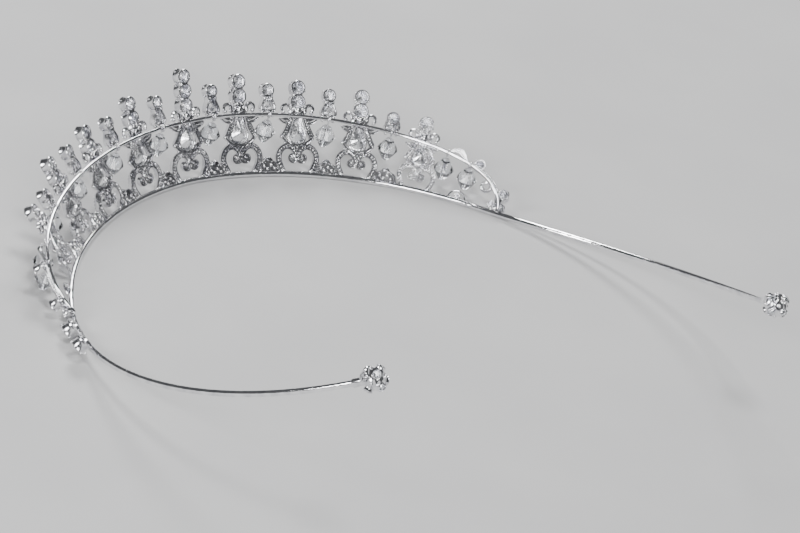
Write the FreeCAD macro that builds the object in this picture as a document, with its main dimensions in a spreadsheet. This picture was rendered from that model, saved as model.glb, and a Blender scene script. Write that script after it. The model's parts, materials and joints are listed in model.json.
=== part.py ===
import FreeCAD, Part
import math
import os

from FreeCAD import Vector

# Bridal tiara: a round wire headband bent to a U, a crest of cast palmettes and spires soldered to
# it, a thinner rail wire behind the crest, stones in open cups and crystals that hang from the rail.
# Frame: +Z up, the front faces -Y, the arms run back towards +Y. Left is the wearer's left, +X.

doc = FreeCAD.newDocument("tiara")

# ---------------------------------------------------------------------------------------------
# Driving dimensions: millimetres, degrees and, for the two curve powers, plain numbers
# ---------------------------------------------------------------------------------------------

SIZES = [
    ("band_wire_dia", 1.5),
    ("band_front_radius", 57.0),
    ("band_front_half", 5.5),
    ("band_side_radius", 87.0),
    ("band_arm_radius", 89.0),
    ("crest_half", 82.5),
    ("arm_length", 103.0),
    ("arm_rise_left", 40.5),
    ("arm_rise_right", 29.8),
    ("arm_rise_power", 1.72),
    ("lean_middle", 25.3),
    ("lean_end", 49.7),
    ("rail_wire_dia", 0.9),
    ("rail_height", 15.6),
    ("rail_sag", 4.2),
    ("rail_overrun", 3.7),
    ("rail_squareness", 9.8),
    ("solder_depth", 0.15),
    ("casting_depth", 1.4),
    ("palmette_spacing", 15.9),
    ("palmette_height_middle", 27.2),
    ("palmette_height_second", 24.0),
    ("palmette_height_third", 22.4),
    ("palmette_height_fourth", 21.8),
    ("palmette_height_outer", 18.2),
    ("spire_height_inner", 22.2),
    ("spire_height_second", 21.6),
    ("spire_height_third", 21.0),
    ("spire_height_outer", 17.6),
    ("arch_half_width", 6.0),
    ("scroll_width", 1.1),
    ("leaf_half_width", 4.5),
    ("pear_half_width", 2.9),
    ("stack_pitch", 3.75),
    ("cup_radius", 1.95),
    ("cup_wall", 0.35),
    ("cup_depth", 2.6),
    ("small_cup_radius", 1.15),
    ("drop_dia", 5.4),
    ("drop_length", 5.6),
    ("drop_tip_dia", 2.2),
    ("drop_below_rail", 2.2),
    ("end_drop_arc", 70.0),
    ("last_drop_arc", 76.0),
    ("last_drop_below_rail", 1.5),
    ("pin_wire_dia", 0.5),
    ("ring_clearance", 0.05),
    ("bore_clearance", 0.05),
    ("pin_head_dia", 1.3),
    ("pin_head_height", 0.35),
    ("end_arch_radius", 2.5),
    ("end_arch_arc", 75.0),
    ("finial_core_dia", 4.6),
    ("finial_reach", 3.3),
    ("finial_sleeve_dia", 2.3),
    ("finial_sleeve_length", 3.0),
]

sheet = doc.addObject("Spreadsheet::Sheet", "sizes")
for row, (alias, value) in enumerate(SIZES, start=1):
    sheet.set("A%d" % row, alias)
    sheet.set("B%d" % row, str(value))
    sheet.setAlias("B%d" % row, alias)
doc.recompute()


def size(alias):
    """One driving dimension, read from the sheet."""
    return float(sheet.get(alias))


BAND_R = size("band_wire_dia") / 2
RAIL_R = size("rail_wire_dia") / 2
DEPTH = size("casting_depth")
SOLDER = size("solder_depth")
CREST = size("crest_half")
ARM = size("arm_length")
SPACING = size("palmette_spacing")
CUP_R = size("cup_radius")
CUP_WALL = size("cup_wall")
CUP_DEPTH = size("cup_depth")
SMALL_CUP_R = size("small_cup_radius")
RAIL_REACH = CREST + size("rail_overrun")
RAIL_BACK = DEPTH / 2 + RAIL_R - SOLDER
# Where the rail's end and the end sprays meet the headband.
JOIN = RAIL_REACH - 1.2

parts = []


def keep(obj, label):
    """Marks an object of the document as a sub-part and names it."""
    obj.Label = label
    parts.append(obj)
    return obj


def feature(label, shape, placement=None):
    """A sub-part whose shape is worked out here from the sheet's sizes."""
    obj = doc.addObject("Part::Feature", label)
    obj.Shape = shape
    if placement:
        obj.Placement = placement
    return keep(obj, label)


# ---------------------------------------------------------------------------------------------
# The headband's line and the crest's leaning surface
# ---------------------------------------------------------------------------------------------


def station(arc):
    """Point of the headband's axis at a signed length from the middle, and its heading in plan."""
    side = -1 if arc < 0 else 1
    run = abs(arc)
    spans = [
        (size("band_front_radius"), size("band_front_half")),
        (size("band_side_radius"), CREST),
        (size("band_arm_radius"), math.inf),
    ]
    x, y, turned, start = 0.0, 0.0, 0.0, 0.0
    for radius, end in spans:
        turn = turned + max(min(run, end) - start, 0) / radius
        x += radius * (math.sin(turn) - math.sin(turned))
        y += radius * (math.cos(turned) - math.cos(turn))
        turned, start = turn, end
    rise = size("arm_rise_left") if side > 0 else size("arm_rise_right")
    beyond = max(run - CREST, 0) / ARM
    height = BAND_R + rise * beyond ** size("arm_rise_power")
    return Vector(side * x, y, height), side * turned


def crest_axes(arc):
    """Origin on the headband, then the directions along the crest, up it and out of its face."""
    origin, heading = station(arc)
    along = Vector(math.cos(heading), math.sin(heading), 0)
    outward = Vector(math.sin(heading), -math.cos(heading), 0)
    share = abs(arc) / CREST
    lean = size("lean_middle") + (size("lean_end") - size("lean_middle")) * share
    tilt = math.radians(lean)
    up = Vector(0, 0, 1) * math.cos(tilt) + outward * math.sin(tilt)
    return origin, along, up, along.cross(up)


def axes_placement(origin, first, second, third):
    """Placement that carries local X, Y and Z onto three directions."""
    matrix = FreeCAD.Matrix(
        first.x, second.x, third.x, origin.x,
        first.y, second.y, third.y, origin.y,
        first.z, second.z, third.z, origin.z,
        0, 0, 0, 1,
    )
    return FreeCAD.Placement(matrix)


def crest_placement(arc):
    """Local X along the crest, Y up it, Z out of its face, origin on the headband's axis."""
    return axes_placement(*crest_axes(arc))


def crest_point(arc, height, out=0.0):
    """A point on or off the crest's surface."""
    origin, along, up, face = crest_axes(arc)
    return origin + up * height + face * out


def rail_height(arc):
    """Height of the rail over the headband's axis, measured up the crest."""
    share = min(abs(arc) / RAIL_REACH, 1.0)
    top = size("rail_height") - size("rail_sag") * share ** 2
    return top * math.sqrt(1 - share ** size("rail_squareness"))


def rail_point(arc):
    return crest_point(arc, rail_height(arc), -RAIL_BACK)


def rail_direction(arc):
    step = 0.01
    return (rail_point(arc + step) - rail_point(arc - step)).normalize()


def wire_sweep(label, points, dia_alias):
    """A round wire along a smooth line through the points."""
    curve = Part.BSplineCurve()
    curve.interpolate(points)
    path = doc.addObject("Part::Feature", label + "_line")
    path.Shape = curve.toShape()
    section = doc.addObject("Part::Circle", label + "_section")
    section.setExpression("Radius", "sizes.%s / 2" % dia_alias)
    heading = curve.tangent(curve.FirstParameter)[0]
    section.Placement = FreeCAD.Placement(points[0], FreeCAD.Rotation(Vector(0, 0, 1), heading))
    sweep = doc.addObject("Part::Sweep", label)
    sweep.Sections = [section]
    sweep.Spine = (path, ["Edge1"])
    sweep.Solid = True
    sweep.Frenet = False
    return keep(sweep, label)


BAND_SPANS = 48
band_half = CREST + ARM
band_points = []
for index in range(BAND_SPANS + 1):
    band_points.append(station(band_half * (2 * index / BAND_SPANS - 1))[0])
wire_sweep("headband", band_points, "band_wire_dia")

RAIL_SPANS = 56
RAIL_END_ANGLE = 88.0
rail_points = []
for index in range(RAIL_SPANS + 1):
    angle = math.radians(RAIL_END_ANGLE * (2 * index / RAIL_SPANS - 1))
    rail_points.append(rail_point(RAIL_REACH * math.sin(angle)))
wire_sweep("rail_wire", rail_points, "rail_wire_dia")

# ---------------------------------------------------------------------------------------------
# Shapes that repeat in the castings: X along the crest, Y up it, Z out of its face
# ---------------------------------------------------------------------------------------------


def disc(x, y, radius, depth, back=None):
    """A round of the given depth, centred on the casting's mid plane unless its back is given."""
    low = -depth / 2 if back is None else back
    return Part.makeCylinder(radius, depth, Vector(x, y, low))


def plate(points, depth=DEPTH):
    """A flat piece with a straight-sided outline."""
    corners = [Vector(x, y, -depth / 2) for x, y in points]
    return Part.Face(Part.makePolygon(corners + corners[:1])).extrude(Vector(0, 0, depth))


def mirrored(points):
    """Closes a right-hand outline with its left-hand mirror image."""
    return points + [(-x, y) for x, y in reversed(points) if abs(x) > 1e-9]


def oval_ring(x, y, half_width, half_height, width, depth=DEPTH):
    """A flat oval ring."""
    rings = []
    for shrink in (0.0, width):
        major, minor = half_width - shrink, half_height - shrink
        oval = Part.Ellipse(Vector(x, y, -depth / 2), max(major, minor), min(major, minor))
        if minor > major:
            oval.rotate(FreeCAD.Placement(Vector(), FreeCAD.Rotation(90, 0, 0), Vector(x, y, 0)))
        rings.append(Part.Face(Part.Wire(oval.toShape())).extrude(Vector(0, 0, depth)))
    return rings[0].cut(rings[1])


def ring(x, y, radius, width, depth=DEPTH):
    """A flat round ring."""
    return disc(x, y, radius, depth).cut(disc(x, y, radius - width, depth * 2))


def cup(x, y, radius=CUP_R, depth=CUP_DEPTH):
    """An open setting, flush with the casting's back and standing out of its face."""
    outer = disc(x, y, radius, depth, -DEPTH / 2)
    return outer, disc(x, y, radius - CUP_WALL, depth * 2, -depth / 2 - DEPTH)


def bar(x1, y1, x2, y2, width, depth=DEPTH):
    """A straight bar between two points."""
    run = Vector(x2 - x1, y2 - y1, 0)
    side = Vector(-run.y, run.x, 0).normalize() * (width / 2)
    return plate([
        (x1 + side.x, y1 + side.y),
        (x2 + side.x, y2 + side.y),
        (x2 - side.x, y2 - side.y),
        (x1 - side.x, y1 - side.y),
    ], depth)


def crescent(x1, y1, x2, y2, sag, width, depth=DEPTH):
    """A crescent that hangs between two points and is thickest in its middle."""
    middle = Vector((x1 + x2) / 2, (y1 + y2) / 2, -depth / 2)
    start, end = Vector(x1, y1, -depth / 2), Vector(x2, y2, -depth / 2)
    down = (end - start).cross(Vector(0, 0, 1)).normalize()
    upper = Part.Arc(start, middle + down * sag, end).toShape()
    lower = Part.Arc(end, middle + down * (sag + width), start).toShape()
    return Part.Face(Part.Wire([upper, lower])).extrude(Vector(0, 0, depth))


def casting(solids, bores):
    """Fuses the pieces of a casting and opens its bores."""
    body = solids[0].multiFuse(solids[1:])
    return body.cut(Part.makeCompound(bores))


def gem(outline, levels):
    """A faceted stone: copies of one outline, shrunk and set at several levels."""
    loops = []
    for level, share in levels:
        loops.append([Vector(x * share, y * share, level) for x, y in outline])
    faces = [Part.Face(Part.makePolygon(loops[0] + loops[0][:1]))]
    faces.append(Part.Face(Part.makePolygon(loops[-1] + loops[-1][:1])))
    count = len(outline)
    for low, high in zip(loops, loops[1:]):
        for index in range(count):
            following = (index + 1) % count
            corners = [low[index], low[following], high[following], high[index]]
            faces.append(Part.Face(Part.makePolygon(corners + corners[:1])))
    solid = Part.makeSolid(Part.makeShell(faces))
    solid.fixTolerance(1e-6)
    if solid.Volume < 0:
        solid.reverse()
    return solid


def regular(radius, count):
    """Corners of a regular outline."""
    corners = []
    for index in range(count):
        angle = 2 * math.pi * (index + 0.5) / count
        corners.append((radius * math.cos(angle), radius * math.sin(angle)))
    return corners


def round_stone(radius, x=0.0, y=0.0, girdle=0.0):
    """A cut round stone: a pointed back, a girdle and a flat table in front."""
    levels = [
        (-0.85 * radius, 0.06),
        (-0.12 * radius, 1.0),
        (0.0, 1.0),
        (0.34 * radius, 0.58),
    ]
    stone = gem(regular(radius, 12), levels)
    stone.translate(Vector(x, y, girdle))
    return stone


CUP_STONE_LEVEL = CUP_DEPTH - DEPTH / 2 - 0.35
STONE_R = CUP_R - CUP_WALL
SMALL_DEPTH = 1.9
SMALL_STONE_R = SMALL_CUP_R - 0.25
SMALL_STONE_LEVEL = SMALL_DEPTH - DEPTH / 2 - 0.2


def small_cup(x, y):
    """A small open setting and its bore."""
    outer = disc(x, y, SMALL_CUP_R, SMALL_DEPTH, -DEPTH / 2)
    return outer, disc(x, y, SMALL_STONE_R, SMALL_DEPTH * 2, -SMALL_DEPTH)


def small_stone(x, y):
    return round_stone(SMALL_STONE_R, x, y, SMALL_STONE_LEVEL)


# ---------------------------------------------------------------------------------------------
# Palmettes
# ---------------------------------------------------------------------------------------------

# A casting's foot is sunk into the headband by the solder's depth.
FOOT = BAND_R - SOLDER
# Rail height that the palmette's proportions are drawn for: lower palmettes shrink with their rail.
DESIGN_RAIL = 15.7
ARCH_MIDDLE = 3.7
ARCH_HALF_HEIGHT = 4.2
VOLUTE_HEIGHT = 4.3
VOLUTE_RADIUS = 1.75
VOLUTE_WIRE = 0.6
LEAF_FOOT = 7.0
LEAF_SHOULDER = 10.1
PEAR_MIDDLE = 11.2
WINDOW_SHARE = 0.98
EAR_REACH = 3.5
EAR_LIFT = 1.9
CRESCENT_NEAR = 1.5
CRESCENT_FAR = 5.4
FOOT_PAD_REACH = 2.9
FOOT_PAD_RADIUS = 0.75
COLLET_BITE = 0.3


def pear_outline(scale):
    """Half width against height of the pear stone, from its blunt foot to its narrow head."""
    wide = size("pear_half_width") * scale
    return mirrored([
        (0.0, 8.0 * scale),
        (wide * 0.62, 8.7 * scale),
        (wide * 0.97, 9.9 * scale),
        (wide * 0.94, PEAR_MIDDLE * scale),
        (wide * 0.68, 12.9 * scale),
        (wide * 0.36, 14.3 * scale),
        (0.0, 14.9 * scale),
    ])


def leaf_outline(scale, rail):
    """Frame round the pear stone, with a point at each shoulder, up to just over the rail."""
    leaf = size("leaf_half_width") * scale
    return mirrored([
        (0.0, LEAF_FOOT * scale),
        (2.4 * scale, (LEAF_FOOT + 0.3) * scale),
        (leaf * 0.82, (LEAF_SHOULDER - 0.8) * scale),
        (leaf, LEAF_SHOULDER * scale),
        (leaf * 0.62, 12.8 * scale),
        (1.7 * scale, rail + 0.6),
        (1.2 * scale, rail + 1.5),
    ])


def palmette_flank(side, scale, rail):
    """Ear setting over the rail, crescent under it and foot pad on one side of a palmette."""
    x, y = side * EAR_REACH * scale, rail + EAR_LIFT
    outer, bore = small_cup(x, y)
    solids = [outer, bar(side * 0.6, rail + 1.1, x - side, y - COLLET_BITE, 0.9)]
    ends = sorted([
        (side * CRESCENT_NEAR * scale, rail - 0.9),
        (side * CRESCENT_FAR * scale, rail - 1.1),
    ])
    solids.append(crescent(ends[0][0], ends[0][1], ends[1][0], ends[1][1], 0.25, 0.8))
    solids.append(disc(side * FOOT_PAD_REACH * scale, FOOT + 0.5, FOOT_PAD_RADIUS, DEPTH))
    return solids, bore, small_stone(x, y)


def pear_stone(window, scale):
    """The pear stone that fills its window, proud of the casting's face."""
    middle = PEAR_MIDDLE * scale
    centred = [(x, y - middle) for x, y in window]
    pear = gem(centred, [(-1.3, 0.12), (-0.15, 1.0), (0.1, 1.0), (0.75, 0.62)])
    pear.translate(Vector(0, middle, DEPTH / 2 - 0.3))
    return pear


def palmette(rail, height, stacked):
    """One palmette as its casting and its stones, for a rail height and a top stone's height."""
    scale = rail / DESIGN_RAIL
    arch_width, arch_height = size("arch_half_width") * scale, ARCH_HALF_HEIGHT * scale
    arch = oval_ring(0, ARCH_MIDDLE * scale, arch_width, arch_height, size("scroll_width"))
    solids = [arch, plate(leaf_outline(scale, rail))]

    volute_y, volute_r = VOLUTE_HEIGHT * scale, VOLUTE_RADIUS * scale
    solids.append(ring(0, volute_y, volute_r, VOLUTE_WIRE))
    solids.append(bar(0, volute_y + volute_r - COLLET_BITE, 0, (LEAF_FOOT + 0.3) * scale, 1.6))
    stones = [round_stone(volute_r - VOLUTE_WIRE, 0, volute_y, DEPTH / 2 - 0.2)]

    window = [(x * WINDOW_SHARE, y) for x, y in pear_outline(scale)]
    bores = [plate(window, DEPTH * 3)]
    stones.append(pear_stone(window, scale))

    for side in (-1, 1):
        pieces, bore, stone = palmette_flank(side, scale, rail)
        solids += pieces
        bores.append(bore)
        stones.append(stone)

    previous = rail + 1.2
    for level in range(stacked):
        y = height - size("stack_pitch") * (stacked - 1 - level)
        radius = CUP_R if level == stacked - 1 else CUP_R * 1.08
        outer, bore = cup(0, y, radius)
        solids.append(outer)
        bores.append(bore)
        solids.append(bar(0, previous, 0, y - radius + COLLET_BITE, 1.7))
        stones.append(round_stone(radius - CUP_WALL, 0, y, CUP_STONE_LEVEL))
        previous = y + radius - COLLET_BITE
    body = casting(solids, bores)
    trim = Part.makeBox(40, 40, 40, Vector(-20, FOOT - 40, -20))
    return body.cut(trim).removeSplitter(), Part.makeCompound(stones)


HEIGHT_NAMES = ["middle", "second", "third", "fourth", "outer"]
STACKED = [3, 2, 2, 2, 1]
palmette_shapes = []
for rank, name in enumerate(HEIGHT_NAMES):
    rail = rail_height(rank * SPACING)
    palmette_shapes.append(palmette(rail, size("palmette_height_" + name), STACKED[rank]))

for number in range(1, 10):
    rank = number - 5
    body, stones = palmette_shapes[abs(rank)]
    place = crest_placement(rank * SPACING)
    feature("palmette_%d" % number, body.copy(), place)
    feature("palmette_%d_stones" % number, stones.copy(), place)

# ---------------------------------------------------------------------------------------------
# Spires, between the palmettes, each astride the ring of the crystal under it
# ---------------------------------------------------------------------------------------------


def spire(rail, height):
    """One spire as its casting and its stone."""
    shoulder = rail + 2.6
    neck = height - CUP_R + 0.3
    solids = [plate(mirrored([
        (0.0, rail + 1.5),
        (1.9, rail + 1.3),
        (1.75, shoulder),
        (1.1, shoulder + 1.0),
        (0.85, neck),
        (0.0, neck),
    ]))]
    for side in (-1, 1):
        solids.append(bar(side * 1.45, rail - 0.3, side * 1.45, rail + 1.6, 0.8))
        solids.append(disc(side * 1.45, rail - 0.25, 0.62, DEPTH))
    outer, bore = cup(0, height)
    solids.append(outer)
    eye = 0.6
    solids.append(disc(0, shoulder, 1.15, SMALL_DEPTH, -DEPTH / 2))
    bores = [bore, disc(0, shoulder, eye, DEPTH * 4)]
    stones = [round_stone(STONE_R, 0, height, CUP_STONE_LEVEL)]
    stones.append(round_stone(eye, 0, shoulder, SMALL_STONE_LEVEL))
    return casting(solids, bores), stones


SPIRE_NAMES = ["inner", "second", "third", "outer"]
spire_shapes = []
for rank, name in enumerate(SPIRE_NAMES):
    spire_shapes.append(spire(rail_height((rank + 0.5) * SPACING), size("spire_height_" + name)))

spire_stones = []
for number in range(1, 9):
    step = number - 4.5
    body, stones = spire_shapes[int(abs(step))]
    place = crest_placement(step * SPACING)
    feature("spire_%d" % number, body.copy(), place)
    for stone in stones:
        moved = stone.copy()
        moved.Placement = place.multiply(moved.Placement)
        spire_stones.append(moved)
feature("spire_stones", Part.makeCompound(spire_stones))

# ---------------------------------------------------------------------------------------------
# Clusters on the headband between the palmettes
# ---------------------------------------------------------------------------------------------

CLUSTER_LIFT = 0.9
CLUSTER_REACH = 1.7
clusters = []
cluster_stones = []
for number in range(8):
    arc = (number - 3.5) * SPACING
    place = crest_placement(arc)
    low = FOOT + CLUSTER_LIFT
    solids = [bar(-CLUSTER_REACH, low - 0.35, CLUSTER_REACH, low - 0.35, 1.1)]
    bores = []
    for x, y in ((-CLUSTER_REACH, low + 0.3), (0.0, low + 1.5), (CLUSTER_REACH, low + 0.3)):
        outer, bore = small_cup(x, y)
        solids.append(outer)
        bores.append(bore)
        stone = small_stone(x, y)
        stone.Placement = place.multiply(stone.Placement)
        cluster_stones.append(stone)
    body = casting(solids, bores)
    body.Placement = place.multiply(body.Placement)
    clusters.append(body)

# ---------------------------------------------------------------------------------------------
# End sprays, where the rail comes down to the headband
# ---------------------------------------------------------------------------------------------


def rod(start, end, radius):
    """A round rod between two points."""
    run = end - start
    return Part.makeCylinder(radius, run.Length, start, run)


def smooth_wire(points, radius):
    """A round wire along a smooth line, as a bare solid."""
    curve = Part.BSplineCurve()
    curve.interpolate(points)
    heading = curve.tangent(curve.FirstParameter)[0]
    section = Part.Wire(Part.Circle(points[0], heading, radius).toShape())
    return Part.Wire(curve.toShape()).makePipeShell([section], True, False)


def placed(shape, placement):
    moved = shape.copy()
    moved.Placement = placement.multiply(moved.Placement)
    return moved


# Lengths along the headband from the join, negative where they run back towards the middle.
# The left end has two more cups, which sit on the headband beyond the join.
SPRAY_CUP_R = CUP_R * 0.76
SIDE_CUP_R = CUP_R * 1.12
SPRAY_CUPS = [
    ("rail", -6.8, 1.9, SPRAY_CUP_R),
    ("band", 1.2, 5.6, SPRAY_CUP_R),
    ("band", -0.9, FOOT + 1.3, SMALL_CUP_R),
    ("band", 1.7, FOOT + 1.2, SMALL_CUP_R),
]
SIDE_CUPS = [
    ("band", 10.0, FOOT + SIDE_CUP_R - 0.35, SIDE_CUP_R),
    ("band", 18.5, FOOT + SIDE_CUP_R - 0.35, SIDE_CUP_R),
]
STEM_BACK = [7.8, 6.6, 5.4, 4.0, 1.8, 0.5]
STEM_RADIUS = 0.45
STEM_LIFT = 0.35
CURL_BACK = 3.6
CURL_HEIGHT = 6.3
CURL_RADIUS = 1.6
LEAF_BACK = 12.1
LEAF_REACH = 2.3


def end_spray(side):
    """Leaf, curl, cups and stem at one end of the crest."""
    solids, bores, stones = [], [], []
    seats = []
    cups = SPRAY_CUPS + (SIDE_CUPS if side > 0 else [])
    for base, along, lift, radius in cups:
        arc = JOIN + along
        height = lift + (rail_height(arc) if base == "rail" else 0)
        place = crest_placement(side * arc)
        large = radius > SMALL_CUP_R
        deep = CUP_DEPTH if large else SMALL_DEPTH
        bore_r = radius - CUP_WALL if large else SMALL_STONE_R
        level = CUP_STONE_LEVEL if large else SMALL_STONE_LEVEL
        solids.append(placed(disc(0, height, radius, deep, -DEPTH / 2), place))
        bores.append(placed(disc(0, height, bore_r, deep * 3, -deep), place))
        stones.append(placed(round_stone(bore_r, 0, height, level), place))
        seats.append(crest_point(side * arc, height - radius + 0.4))

    follow = -RAIL_BACK + RAIL_R + STEM_RADIUS - SOLDER
    line = []
    for back in STEM_BACK:
        arc = JOIN - back
        line.append(crest_point(side * arc, rail_height(arc) + STEM_LIFT, follow))
    join = crest_point(side * (JOIN + 0.4), FOOT + 0.7)
    line.append(join)
    solids.append(smooth_wire(line, STEM_RADIUS))
    solids.append(Part.makeSphere(0.8, join, Vector(0, 1, 0)))
    solids.append(rod(line[2], seats[0], 0.6))
    solids.append(rod(join, seats[1], 0.55))

    curl_arc = JOIN - CURL_BACK
    curl = ring(0, CURL_HEIGHT, CURL_RADIUS, 0.8)
    solids.append(placed(curl, crest_placement(side * curl_arc)))
    solids.append(rod(crest_point(side * (curl_arc + 1.5), CURL_HEIGHT + 0.9), line[4], 0.5))

    leaf_arc = JOIN - LEAF_BACK
    leaf_y = rail_height(leaf_arc)
    tip_y = rail_height(leaf_arc + LEAF_REACH)
    ends = sorted([(-side * LEAF_REACH, leaf_y + 1.5), (side * LEAF_REACH, tip_y)])
    leaf = crescent(ends[0][0], ends[0][1], ends[1][0], ends[1][1], -1.5, 0.9)
    solids.append(placed(leaf, crest_placement(side * leaf_arc)))
    return casting(solids, bores), stones


end_stones = []
for side, side_name in ((-1, "right"), (1, "left")):
    body, stones = end_spray(side)
    feature("end_spray_" + side_name, body)
    end_stones += stones

# A thin half ring with a small stone stands on the headband near each end of the crest.
ARCH_CENTRE = FOOT + 0.1
for side in (-1, 1):
    place = crest_placement(side * size("end_arch_arc"))
    reach = size("end_arch_radius")
    arch = ring(0, ARCH_CENTRE, reach, 0.6)
    outer, bore = small_cup(0, ARCH_CENTRE + 0.5)
    sole = bar(-reach, ARCH_CENTRE + 0.2, reach, ARCH_CENTRE + 0.2, 0.5)
    body = casting([arch, outer, sole], [bore])
    body = body.cut(Part.makeBox(10, 10, 10, Vector(-5, FOOT - 10, -5)))
    clusters.append(placed(body, place))
    cluster_stones.append(placed(small_stone(0, ARCH_CENTRE + 0.5), place))
feature("foot_clusters", Part.makeCompound(clusters))
feature("foot_cluster_stones", Part.makeCompound(cluster_stones))

# ---------------------------------------------------------------------------------------------
# Crystals that hang from the rail, each on a head pin with a ring round the rail
# ---------------------------------------------------------------------------------------------

FACETS = 8
drop_arcs = [step * SPACING for step in (-3.5, -2.5, -1.5, -0.5, 0.5, 1.5, 2.5, 3.5)]
end_arcs = [size("end_drop_arc"), size("last_drop_arc")]
drop_arcs = [-arc for arc in reversed(end_arcs)] + drop_arcs + end_arcs


def hanging_placement(arc):
    """Origin on the rail's axis, local X along the rail in plan and Z straight up."""
    direction = rail_direction(arc)
    flat = Vector(direction.x, direction.y, 0).normalize()
    upright = Vector(0, 0, 1)
    return axes_placement(rail_point(arc), flat, upright.cross(flat), upright)


def hang_size(arc):
    """Name of the size that sets how far below the rail a crystal starts."""
    return "last_drop_below_rail" if abs(arc) == size("last_drop_arc") else "drop_below_rail"


def drop_pin(number, arc):
    """Ring, shank and head of one pin."""
    place = hanging_placement(arc)
    hang = hang_size(arc)
    name = "drop_pin_%d" % number
    eye = doc.addObject("Part::Torus", name + "_ring")
    eye.setExpression("Radius2", "sizes.pin_wire_dia / 2")
    reach = "(sizes.rail_wire_dia + sizes.pin_wire_dia) / 2 + sizes.ring_clearance"
    eye.setExpression("Radius1", reach)
    turn = FreeCAD.Rotation(Vector(0, 0, 1), rail_direction(arc))
    eye.Placement = FreeCAD.Placement(place.Base, turn)
    shank = doc.addObject("Part::Cylinder", name + "_shank")
    shank.setExpression("Radius", "sizes.pin_wire_dia / 2")
    length = "sizes.%s + sizes.drop_length + sizes.pin_head_height" % hang
    shank.setExpression("Height", "%s - (%s)" % (length, reach))
    head = doc.addObject("Part::Cylinder", name + "_head")
    head.setExpression("Radius", "sizes.pin_head_dia / 2")
    head.setExpression("Height", "sizes.pin_head_height")
    low = size(hang) + size("drop_length") + size("pin_head_height")
    base = place.Base - Vector(0, 0, low)
    shank.Placement = FreeCAD.Placement(base, place.Rotation)
    head.Placement = FreeCAD.Placement(base, place.Rotation)
    pin = doc.addObject("Part::MultiFuse", name)
    pin.Shapes = [eye, shank, head]
    return keep(pin, name)


def drop_crystal(number, arc):
    """One faceted crystal with its bore, standing on the head of its pin."""
    place = hanging_placement(arc)
    name = "drop_crystal_%d" % number
    waist = size("drop_dia") / 2
    tip = size("drop_tip_dia") / size("drop_dia")
    half = size("drop_length") / 2
    band = 0.12
    solid = gem(regular(waist, FACETS), [(-half, tip), (-band, 1.0), (band, 1.0), (half, tip)])
    stone = doc.addObject("Part::Feature", name + "_stone")
    stone.Shape = solid
    middle = place.Base - Vector(0, 0, size(hang_size(arc)) + half)
    stone.Placement = FreeCAD.Placement(middle, place.Rotation)
    bore = doc.addObject("Part::Cylinder", name + "_bore")
    bore.setExpression("Radius", "sizes.pin_wire_dia / 2 + sizes.bore_clearance")
    bore.setExpression("Height", "2 * sizes.drop_length")
    below = middle - Vector(0, 0, size("drop_length"))
    bore.Placement = FreeCAD.Placement(below, place.Rotation)
    crystal = doc.addObject("Part::Cut", name)
    crystal.Base = stone
    crystal.Tool = bore
    return keep(crystal, name)


for number, arc in enumerate(drop_arcs, start=1):
    drop_pin(number, arc)
    drop_crystal(number, arc)

# ---------------------------------------------------------------------------------------------
# Finials at the ends of the arms
# ---------------------------------------------------------------------------------------------


def tip_placement(side):
    """Origin at the arm's end, local Z running on along the arm."""
    end, heading = station(side * band_half)
    before = station(side * (band_half - 0.1))[0]
    onward = (end - before).normalize()
    across = onward.cross(Vector(0, 0, 1)).normalize()
    return axes_placement(end, across, onward.cross(across), onward)


for side, side_name in ((-1, "right"), (1, "left")):
    place = tip_placement(side)
    core_r = size("finial_core_dia") / 2
    name = "finial_" + side_name
    core = doc.addObject("Part::Sphere", name + "_core")
    core.setExpression("Radius", "sizes.finial_core_dia / 2")
    centre = place.multVec(Vector(0, 0, core_r + 0.2))
    core.Placement = FreeCAD.Placement(centre, place.Rotation)
    sleeve = doc.addObject("Part::Cylinder", name + "_sleeve")
    sleeve.setExpression("Radius", "sizes.finial_sleeve_dia / 2")
    sleeve.setExpression("Height", "sizes.finial_sleeve_length + 0.6")
    start = place.multVec(Vector(0, 0, -size("finial_sleeve_length")))
    sleeve.Placement = FreeCAD.Placement(start, place.Rotation)
    pieces = [core, sleeve]
    cup_bores = []
    for corner in range(8):
        lift = math.asin(1 / math.sqrt(3)) * (1 if corner < 4 else -1)
        angle = math.radians(90 * (corner % 4) + 45)
        spread = math.cos(lift)
        local = Vector(spread * math.cos(angle), spread * math.sin(angle), math.sin(lift))
        direction = place.Rotation.multVec(local)
        reach = size("finial_reach")
        boss = doc.addObject("Part::Cylinder", "%s_cup_%d" % (name, corner + 1))
        boss.setExpression("Radius", "sizes.small_cup_radius")
        boss.setExpression("Height", "sizes.finial_reach - 1.0")
        turn = FreeCAD.Rotation(Vector(0, 0, 1), direction)
        boss.Placement = FreeCAD.Placement(centre + direction, turn)
        pieces.append(boss)
        pit = Part.makeCylinder(SMALL_STONE_R, 2.0, centre + direction * (reach - 0.9), direction)
        cup_bores.append(pit)
        stone = round_stone(SMALL_STONE_R)
        seat = FreeCAD.Placement(centre + direction * (reach - 0.1), turn)
        end_stones.append(placed(stone, seat))
    whole = doc.addObject("Part::MultiFuse", name + "_solid")
    whole.Shapes = pieces
    pits = doc.addObject("Part::Feature", name + "_pits")
    pits.Shape = Part.makeCompound(cup_bores)
    body = doc.addObject("Part::Cut", name)
    body.Base = whole
    body.Tool = pits
    keep(body, name)
feature("end_stones", Part.makeCompound(end_stones))

# ---------------------------------------------------------------------------------------------
# Rebuild, check and write
# ---------------------------------------------------------------------------------------------

doc.recompute()

for obj in doc.Objects:
    bad = [state for state in obj.State if state in ("Invalid", "Error")]
    if bad:
        raise RuntimeError("%s is %s" % (obj.Name, ", ".join(bad)))
for part in parts:
    if part.Shape.isNull() or not part.Shape.isValid():
        raise RuntimeError("%s has no valid shape" % part.Label)
    if not part.Shape.Solids:
        raise RuntimeError("%s holds no solid" % part.Label)

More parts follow.
